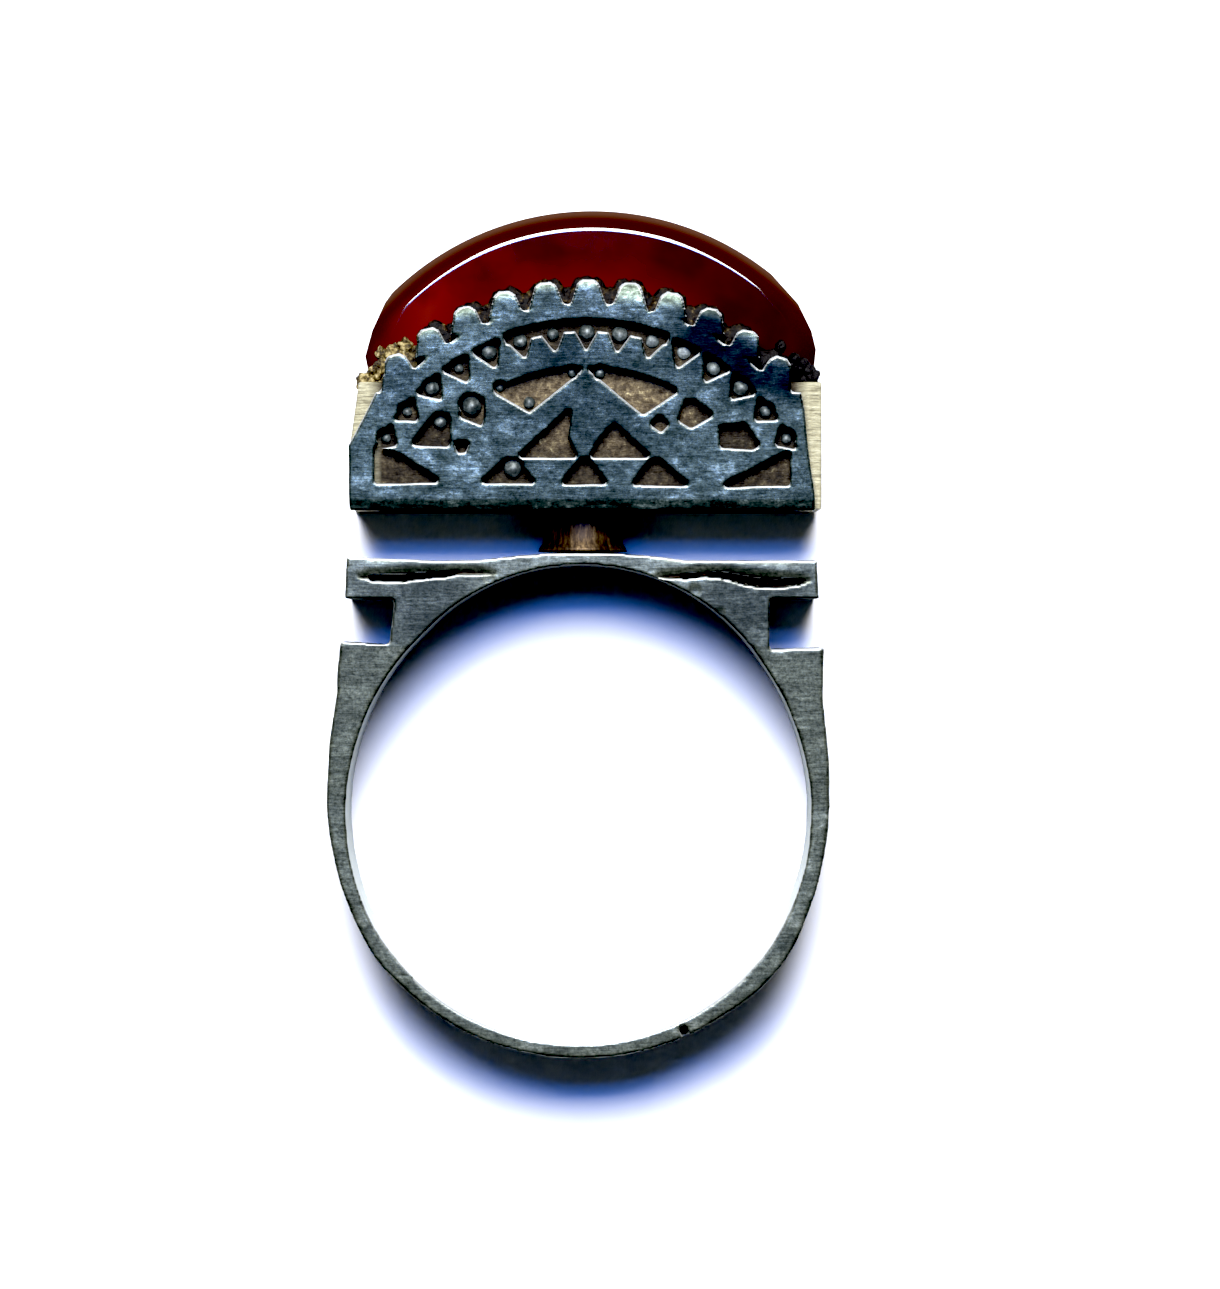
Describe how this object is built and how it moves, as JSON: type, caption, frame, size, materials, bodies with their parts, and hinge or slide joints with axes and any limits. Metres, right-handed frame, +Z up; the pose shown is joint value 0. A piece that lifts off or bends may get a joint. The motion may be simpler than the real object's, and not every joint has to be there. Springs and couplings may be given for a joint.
{
  "type": "silver ring with a toothed openwork head and a carnelian",
  "caption": "Silver ring lying on its side: stepped hoop, short neck and a half-round openwork head with teeth that hold a carnelian slab.",
  "frame": {"origin": "on the axis of the finger hole, at the surface that the ring lies on", "axes": "+Z up from that surface along the finger hole, +Y from the finger hole to the head, +X to the right seen from above"},
  "size_m": [0.0214, 0.036, 0.0084],
  "materials": {
    "aged_silver": "worn satin silver with a dark patina in its recesses",
    "silver_balls": "satin silver",
    "pale_brass": "filed, matt, stained brown on the ground sheets",
    "brown_copper": "dark brown patina",
    "carnelian": "polished, translucent",
    "setting_pitch": "rough, crumbly"
  },
  "bodies": {
    "root": {"shank": "aged_silver", "post": "brown_copper", "case": "pale_brass", "front_plate": "aged_silver", "back_plate": "aged_silver", "granules": "silver_balls", "stone": "carnelian", "pitch": "setting_pitch"}
  },
  "joints": []
}
